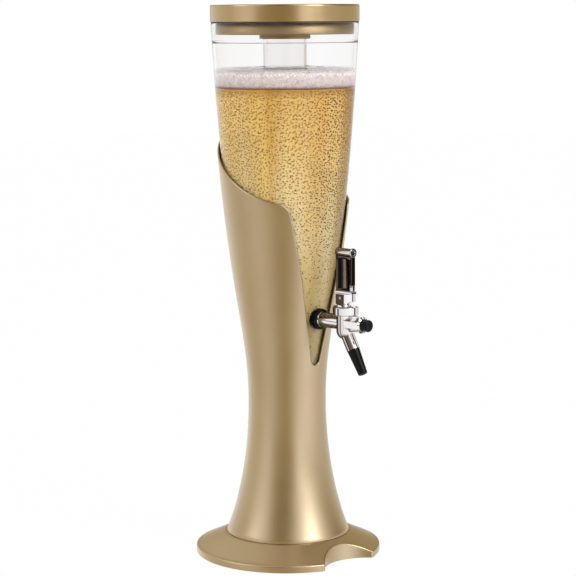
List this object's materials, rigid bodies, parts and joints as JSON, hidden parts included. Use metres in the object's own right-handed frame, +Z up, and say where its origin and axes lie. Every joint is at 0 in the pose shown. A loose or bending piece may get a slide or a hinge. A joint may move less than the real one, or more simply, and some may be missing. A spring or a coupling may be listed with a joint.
{
  "type": "beer tower dispenser",
  "caption": "Table-top drink tower: a clear tapered tank with a lid, ice tube and lever tap stands in a flared, waisted column on a round base with a glass notch.",
  "frame": {"origin": "middle of the base on the table, at the foot of the rubber ring", "axes": "+Z up along the tower; the tap points along -Y; X runs across, and the tower is the same on both sides of X = 0"},
  "size_m": [0.193, 0.2152, 0.57],
  "materials": {
    "gold_shell": "moulded plastic with a satin champagne gold coating",
    "gold_lid": "moulded plastic with a semi-gloss gold coating",
    "clear_plastic": "clear polished plastic",
    "chrome_plate": "polished chrome plate",
    "dark_chrome": "polished smoked chrome plate",
    "steel": "plain steel",
    "black_plastic": "glossy black plastic",
    "white_plastic": "plain low-friction plastic",
    "black_rubber": "soft black rubber"
  },
  "bodies": {
    "stand": {"base_plate": "gold_shell", "foot_ring": "black_rubber", "base_screws": "steel", "column_shell": "gold_shell", "tank_pad": "black_rubber"},
    "tank_unit": {"tank": "clear_plastic", "tap_flange": "black_plastic", "inner_gasket": "black_rubber", "shank_nut": "chrome_plate", "tap_shank": "chrome_plate", "tap_body": "chrome_plate", "bonnet_nut": "chrome_plate", "ball_ring": "white_plastic", "spout_nozzle": "black_plastic", "nozzle_ring": "black_rubber"},
    "lever": {"lever_neck": "chrome_plate", "lever_handle": "dark_chrome", "lever_pin": "steel"},
    "piston_unit": {"piston": "black_plastic", "piston_rings": "black_rubber"},
    "lid_unit": {"lid_cap": "gold_lid", "lid_liner": "gold_lid", "lid_seal": "black_rubber", "ice_tube": "clear_plastic", "tube_collar": "clear_plastic", "tube_seal": "black_rubber"}
  },
  "joints": [
    {"name": "tank_lift", "type": "slide", "parent": "stand", "child": "tank_unit", "axis": [0, 0, 1], "range_m": [0, 0.265]},
    {"name": "lid_lift", "type": "slide", "parent": "tank_unit", "child": "lid_unit", "axis": [0, 0, 1], "range_m": [0, 0.275]},
    {"name": "lever_tilt", "type": "hinge", "parent": "tank_unit", "child": "lever", "pos_m": [0, -0.08548, 0.2655], "axis": [1, 0, 0], "range_deg": [-8, 20]},
    {"name": "piston_slide", "type": "slide", "parent": "tank_unit", "child": "piston_unit", "axis": [0, 1, 0], "range_m": [-0.0013, 0.00325]}
  ],
  "couplings": [
    {"joint": "piston_slide", "follows": "lever_tilt", "m_per_rad": 0.0092}
  ]
}
